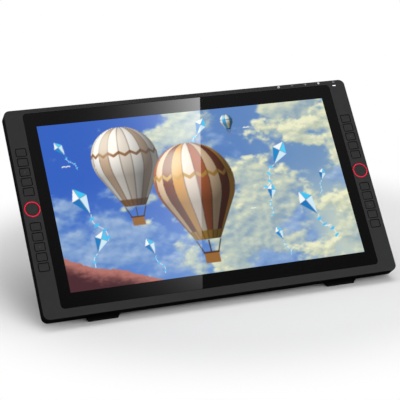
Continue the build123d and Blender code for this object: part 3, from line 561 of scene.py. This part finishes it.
def screen_colours(x, y):
    """Sky, clouds, the balloons, kites and birds and a ridge in a corner, laid one over another."""
    picture = sky(x, y)
    picture = clouds(picture, x, y, 11, 130, 0.50, "#A9C0DC", "#5E86C4", tilt=-0.15)
    picture = clouds(picture, x, y, 23, 95, 0.50, "#DCE0C2", "#8FA6B4", tilt=0.34)
    picture = clouds(picture, x, y, 57, 60, 0.66, "#F0EFC9", "#B4BFAE", tilt=0.34)
    picture = balloon(picture, x, y, (66, 112), 11, 10, 0.1, ["#F6F1DC", "#3FA9E0"], "#2F7FC2")
    picture = balloon(picture, x, y, (-112, 66), 54, 18, 0.5,
                      ["#FAF4EA", "#E9DECF", "#FBF7F0", "#C9AE93"], "#9A6B42")
    for centre, size, lean, bright, deep in KITES:
        picture = kite(picture, x, y, centre, size, lean, bright, deep)
    for centre, span in BIRDS:
        picture = bird(picture, x, y, centre, span)
    picture = balloon(picture, x, y, (-10, 16), 66, 20, 0.25,
                      ["#F3E3D2", "#B8643C", "#E9C9A4", "#7B3F2C", "#DFA24C"], "#C99A45")
    return hills(picture, x, y, -84, 26, 0.36, 71, "#B4736A", "#4A2A30")


def lit_screen():
    """The lit area as a thin sheet on the glass: a grid of coloured points on top, closed by one face below."""
    across = np.linspace(-SCREEN_WIDTH / 2, SCREEN_WIDTH / 2, SCREEN_COLUMNS + 1)
    up = np.linspace(-SCREEN_HEIGHT / 2, SCREEN_HEIGHT / 2, SCREEN_ROWS + 1)
    x, y = np.meshgrid(across, up)
    top = on_display(x, y, IMAGE_SKIN - GLASS_RECESS).reshape(-1, 3)
    count = np.arange(top.shape[0]).reshape(x.shape)
    rim = np.concatenate([count[0, :-1], count[:-1, -1], count[-1, :0:-1], count[:0:-1, 0]])
    below = top[rim] - np.array(OUTWARD) * IMAGE_SKIN * MM
    low = top.shape[0] + np.arange(len(rim))
    sides = np.stack([low, np.roll(low, -1), np.roll(rim, -1), rim], axis=1).tolist()
    faces = grid_faces(*x.shape) + sides + [low[::-1].tolist()]
    screen = add_mesh("lit_screen", np.concatenate([top, below]), faces, lit_panel())
    shades = linear(np.clip(screen_colours(x, y), 0, 1)).reshape(-1, 3)
    shades = np.concatenate([shades, shades[rim]])
    attribute = screen.data.color_attributes.new("picture", "FLOAT_COLOR", "POINT")
    attribute.data.foreach_set("color", np.column_stack([shades, np.ones(len(shades))]).ravel())
    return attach(screen, "display")


# The signs printed on the frame, under the five buttons on the top edge

SIGN_XS = [169.2, 192.7, 216.2, 239.7, 266.2]
SIGN_Y = 161.2
SIGN_HALF = 1.9
STROKE = 0.65
INK = 0.02


def stroke(points, closed=False):
    """A flat ribbon of ink along a path: each of its points gives four corners, half a stroke to each side of
    it, two below and two on top."""
    path = np.asarray(points, float)
    ahead = np.roll(path, -1, axis=0) - path
    behind = path - np.roll(path, 1, axis=0)
    if not closed:
        ahead[-1], behind[0] = behind[-1], ahead[0]
    along = ahead / np.linalg.norm(ahead, axis=1)[:, None] + behind / np.linalg.norm(behind, axis=1)[:, None]
    along /= np.linalg.norm(along, axis=1)[:, None]
    beside = np.stack([-along[:, 1], along[:, 0]], axis=1) * STROKE / 2
    left, right = path + beside, path - beside
    low, top = np.zeros(len(path)), np.full(len(path), INK)
    edges = ((right, low), (right, top), (left, top), (left, low))
    corners = np.stack([np.column_stack(edge) for edge in edges], axis=1)
    count = len(path)
    ring = np.arange(count if closed else count - 1)
    following = (ring + 1) % count
    faces = [np.stack([ring * 4 + k, following * 4 + k, following * 4 + (k + 1) % 4, ring * 4 + (k + 1) % 4],
                      axis=1).tolist() for k in range(4)]
    ends = [] if closed else [[0, 1, 2, 3], [count * 4 - 1, count * 4 - 2, count * 4 - 3, count * 4 - 4]]
    return corners.reshape(-1, 3), sum(faces, []) + ends


def arc(radius, start, end, steps):
    """Points on a circle about the sign's middle, from one angle to another in degrees."""
    turn = np.radians(np.linspace(start, end, steps))
    return np.stack([radius * np.cos(turn), radius * np.sin(turn)], axis=1)


def sign_strokes():
    """Each sign's strokes: three bars, a minus, a plus, a sun and the power sign."""
    bars = [stroke([(-SIGN_HALF, h), (SIGN_HALF, h)]) for h in (-1.4, 0, 1.4)]
    minus = [stroke([(-SIGN_HALF, 0), (SIGN_HALF, 0)])]
    plus = minus + [stroke([(0, -SIGN_HALF), (0, SIGN_HALF)])]
    rays = [stroke([arc(r, a, a, 1)[0] for r in (1.35, 1.95)]) for a in range(0, 360, 45)]
    sun = [stroke(arc(0.9, 0, 340, 18), closed=True)] + rays
    power = [stroke(arc(1.6, 125, 415, 24)), stroke([(0, 0.3), (0, 2.0)])]
    return [bars, minus, plus, sun, power]


def printed_signs(name, chosen, ink):
    """Some of the signs, by their numbers, as one print on the frame's face."""
    points, faces = [], []
    strokes_of = sign_strokes()
    for number in chosen:
        for corners, quads in strokes_of[number]:
            first = sum(len(p) for p in points)
            faces += [[first + index for index in quad] for quad in quads]
            points.append(on_display(corners[:, 0] + SIGN_XS[number], corners[:, 1] + SIGN_Y, corners[:, 2]))
    signs = add_mesh(name, np.concatenate(points), faces, ink)
    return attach(signs, "display")


# Finishes of the CAD pieces


def dress_cad_pieces():
    """Gives every CAD node the finish of what it is made of."""
    keys = [name for name in nodes if name.startswith("key_") and "board" not in name]
    buttons = [name for name in nodes if name.endswith("_button")]
    # The walls of keys, frame and cover get a painted shade: near black, so that they read as shaded edges and
    # gaps.
    painted_edge_shade = painted_shade_walls()
    dress(["front_frame"], sparked_abs())
    dress(keys + buttons, satin_abs())
    for name in keys:
        recolour(name, painted_edge_shade, walls(name, KEY_WALL))
    # The raised dot on four keys is coloured a lighter grey than the key.
    dots = plain_moulding("lighter_grey_dot", "#3C3C3E", "#434345", 0.5)
    for name in ("key_left_3", "key_left_8", "key_right_3", "key_right_8"):
        recolour(name, dots, raised_dot(name))
    recolour("front_frame", painted_edge_shade, walls("front_frame", FRAME_WALL))
    dress(["rear_cover"], black_abs())
    recolour("rear_cover", painted_edge_shade, walls("rear_cover", COVER_WALL))
    dress(["front_feet"], plain_moulding("foot_abs", "#040405", "#070708", 0.7, shine=0.04))
    dress(["stand_lid", "release_lever"], plain_moulding("moulded_abs", "#121213", "#171718", 0.5))
    dress(["cover_glass"], printed_glass())
    for side in ("left", "right"):
        dress([f"dial_ring_{side}"], anodised_ring(side))
        dress([f"dial_{side}"], dial_plastic(side))
    dress(["leg_pads", "front_foot_pads"], moulded_rubber())
    dress(["stand_leg", "stand_bracket"], powder_coat())
    dress(["case_screws", "stand_screws"], blackened_steel())
    dress(["hinge_pins", "hinge_clutches", "lever_pin", "lever_springs", "lock_yoke"], ground_steel())
    dress(["shield_plate"], plated_shell("galvanised_steel", "#8D9092", "#A8ABAD", 6.0))
    dress(["backlight_tray"], plated_shell("aluminium_tray", "#B4B6B9", "#C6C8CA", 10.0))
    dress(["hdmi_socket", "usb_sockets"], plated_shell("nickel_plated_shell", "#9D9A92", "#B7B4AB", 1.5))
    dress(["power_jack"], plain_moulding("jack_nylon", "#0B0B0C", "#111112", 0.5))
    dress(["main_board", "button_board", "key_board_left", "key_board_right"],
          glass_fibre_board("green_board", "#123B26", "#1A4A30"))
    dress(["digitizer_board"], glass_fibre_board("sensor_film", "#5A2F16", "#6C3B1D"))
    dress(["glass_tape"], plain_moulding("foam_tape", "#0C0C0C", "#141414", 0.9))
    dress(["lcd_panel"], plain_moulding("panel_film", "#101216", "#181B20", 0.25))
    dress(["light_guide"], plain_moulding("clear_acrylic", "#C9D2D6", "#DCE3E6", 0.2))
    dress(["power_light"], lit_bar())


# The studio

FLOOR_REACH = 9.0
FLOOR_WHITE = "#EAEAEA"
# To the camera the floor turns white between two ovals about the object, these ways off in metres, wider
# than deep by the stretch
FADE_STRETCH = 1.13
FADE_SHIFT = (-0.083, -0.03, 0)
FADE_START = 0.31
FADE_END = 0.5
CARD_HEIGHT = 1500.0
CARD_COLUMNS = 48
CARD_ROWS = 24
# Where the edge of the card's reflection lies on the glass, at its top and at its bottom edge, how far the
# reflection reaches to the left of it, and how bright the card is at these heights
EDGE_HIGH = (32.0, 157.0)
EDGE_LOW = (-38.0, -156.0)
CARD_REACH = 230.0
CARD_BRIGHTEST = 8.5
CARD_DIMMEST = 0.85
CARD_FALL = 0.0125
CARD_CURVE = 6.25e-5
# Reflections darken between these heights of a direction, and get brighter again towards the top, which slants
# to the right
DARKENING = (0.15, 0.6)
TOP_SLANT = (0.34, 0, 1)
TOP_SPAN = (0.885, 0.97)


def set_camera():
    """The photograph's camera, by its place, its heading from the depth towards the right, and its tilt."""
    lens = bpy.data.cameras.new("camera")
    lens.lens = CAMERA_LENS
    lens.sensor_width = SENSOR_WIDTH
    camera = bpy.data.objects.new("camera", lens)
    camera.location = CAMERA_PLACE
    camera.rotation_euler = (math.radians(90 + CAMERA_TILT), 0, -math.radians(CAMERA_HEADING))
    bpy.context.scene.collection.objects.link(camera)
    bpy.context.scene.camera = camera


def white_floor():
    """A pale floor that keeps the object's shadow. To the camera, and in gloss, it fades into white away from
    the object."""
    material, tree, shader = finish("painted_floor", Roughness=0.9, **{"Specular IOR Level": 0.0})
    shader.inputs["Base Color"].default_value = colour(FLOOR_WHITE)
    place = node(tree, "ShaderNodeTexCoord").outputs["Object"]
    scaled = node(tree, "ShaderNodeVectorMath", {0: place, 1: (1 / FADE_STRETCH, 1, 1), 2: FADE_SHIFT},
                  operation="MULTIPLY_ADD")
    away = node(tree, "ShaderNodeVectorMath", {0: scaled.outputs[0]}, operation="LENGTH")
    fade = node(tree, "ShaderNodeMapRange", {"Value": away.outputs["Value"], "From Min": FADE_START,
                                             "From Max": FADE_END}, interpolation_type="SMOOTHSTEP")
    path = node(tree, "ShaderNodeLightPath").outputs
    mirrored = node(tree, "ShaderNodeMath", {0: path["Is Glossy Ray"], 1: path["Is Transmission Ray"]},
                    operation="MAXIMUM")
    seen = node(tree, "ShaderNodeMath", {0: path["Is Camera Ray"], 1: mirrored.outputs[0]}, operation="MAXIMUM")
    share = node(tree, "ShaderNodeMath", {0: fade.outputs[0], 1: seen.outputs[0]}, operation="MULTIPLY")
    white = node(tree, "ShaderNodeEmission", {"Strength": 1.0})
    both = node(tree, "ShaderNodeMixShader", {0: share.outputs[0], 1: shader.outputs[0], 2: white.outputs[0]})
    tree.links.new(both.outputs[0], tree.nodes["Material Output"].inputs["Surface"])
    half = FLOOR_REACH
    points = [(-half, -half, 0), (half, -half, 0), (half, half, 0), (-half, half, 0)]
    floor = add_mesh("floor", points, [[0, 1, 2, 3]], material)


def reflection_card():
    """A softbox seen only in the glass. A point of the glass sees the card at the point mirrored from the
    camera: glass point + (glass point - camera) * card height / camera height. Its light falls off from the
    edge as exp(-fall e - curve e * e), with e the way from the edge over the glass, and evenly from top to
    bottom."""
    eye = to_display(CAMERA_PLACE)
    from_edge, up = np.meshgrid(np.linspace(CARD_REACH, 0, CARD_COLUMNS), np.linspace(-0.3, 1.3, CARD_ROWS))
    edge_x = EDGE_LOW[0] + (EDGE_HIGH[0] - EDGE_LOW[0]) * up
    glass_x = edge_x - from_edge
    glass_y = EDGE_LOW[1] + (EDGE_HIGH[1] - EDGE_LOW[1]) * up
    throw = CARD_HEIGHT / eye[2]
    points = on_display(glass_x + (glass_x - eye[0]) * throw, glass_y + (glass_y - eye[1]) * throw, CARD_HEIGHT)
    fall = np.exp(-CARD_FALL * from_edge - CARD_CURVE * from_edge ** 2)
    level = np.clip(CARD_DIMMEST + (CARD_BRIGHTEST - CARD_DIMMEST) * up, 0, None)
    material = bpy.data.materials.new("softbox")
    material.use_nodes = True
    tree = material.node_tree
    tree.nodes.clear()
    glow = node(tree, "ShaderNodeAttribute", attribute_name="glow")
    light = node(tree, "ShaderNodeEmission", {"Strength": glow.outputs["Fac"]})
    clear = node(tree, "ShaderNodeBsdfTransparent")
    both = node(tree, "ShaderNodeAddShader", {0: light.outputs[0], 1: clear.outputs[0]})
    node(tree, "ShaderNodeOutputMaterial", {"Surface": both.outputs[0]})
    card = add_mesh("softbox", points.reshape(-1, 3), grid_faces(CARD_ROWS, CARD_COLUMNS), material)
    card.data.attributes.new("glow", "FLOAT", "POINT").data.foreach_set("value", (fall * level).ravel())
    card.visible_camera = False
    card.visible_diffuse = False
    card.visible_shadow = False
    card.visible_transmission = False


def area_lamp(name, place, aim, width, power):
    """A square soft lamp at a place, turned towards a point, and not seen in reflections."""
    data = bpy.data.lights.new(name, "AREA")
    data.shape = "SQUARE"
    data.size = width
    data.energy = power
    lamp = bpy.data.objects.new(name, data)
    lamp.location = place
    lamp.rotation_euler = (Vector(aim) - Vector(place)).to_track_quat("-Z", "Y").to_euler()
    lamp.visible_camera = False
    lamp.visible_glossy = False
    bpy.context.scene.collection.objects.link(lamp)


def studio_world(ambient, dim, overhead):
    """White to the camera and, low down, in reflections, where it gets dim higher up and a little brighter
    again overhead. It lights the rest evenly."""
    world = bpy.data.worlds.new("studio")
    world.use_nodes = True
    bpy.context.scene.world = world
    tree = world.node_tree
    tree.nodes.clear()
    path = node(tree, "ShaderNodeLightPath").outputs
    direction = node(tree, "ShaderNodeTexCoord").outputs["Generated"]
    rise = node(tree, "ShaderNodeSeparateXYZ", {0: direction})
    towards_top = node(tree, "ShaderNodeVectorMath", {0: direction, 1: TOP_SLANT}, operation="DOT_PRODUCT")
    climb = node(tree, "ShaderNodeMapRange", {"Value": rise.outputs[2], "From Min": DARKENING[0],
                                              "From Max": DARKENING[1], "To Min": 1.0, "To Max": dim},
                 interpolation_type="SMOOTHSTEP")
    top = node(tree, "ShaderNodeMapRange", {"Value": towards_top.outputs["Value"], "From Min": TOP_SPAN[0],
                                            "From Max": TOP_SPAN[1], "To Min": 0.0, "To Max": overhead - dim})
    ceiling = node(tree, "ShaderNodeMath", {0: climb.outputs[0], 1: top.outputs[0]}, operation="ADD")
    mirrored = node(tree, "ShaderNodeMath", {0: path["Is Glossy Ray"], 1: path["Is Transmission Ray"]},
                    operation="MAXIMUM")
    lighting = node(tree, "ShaderNodeMix", {0: mirrored.outputs[0], 2: ambient, 3: ceiling.outputs[0]})
    strength = node(tree, "ShaderNodeMix", {0: path["Is Camera Ray"], 2: lighting.outputs[0], 3: 1.0})
    back = node(tree, "ShaderNodeBackground", {"Color": (1, 1, 1, 1), "Strength": strength.outputs[0]})
    node(tree, "ShaderNodeOutputWorld", {"Surface": back.outputs[0]})


dress_cad_pieces()
lit_screen()
printed_signs("white_signs", (0, 3), printed_ink("white_ink", "#EFEFF0", "#FAFAFA"))
printed_signs("grey_signs", (1, 2, 4), printed_ink("grey_ink", "#8C8C8E", "#9C9C9E"))
set_camera()
white_floor()
reflection_card()
area_lamp("overhead", (0.25, 0.5, 2.3), (0, 0, 0.1), 2.2, 28.0)
area_lamp("frontal", (0.75, -2.04, 1.82), (0, 0, 0.1), 1.8, 35.0)
studio_world(0.34, 0.055, 0.21)
bpy.context.scene.view_settings.view_transform = "Standard"
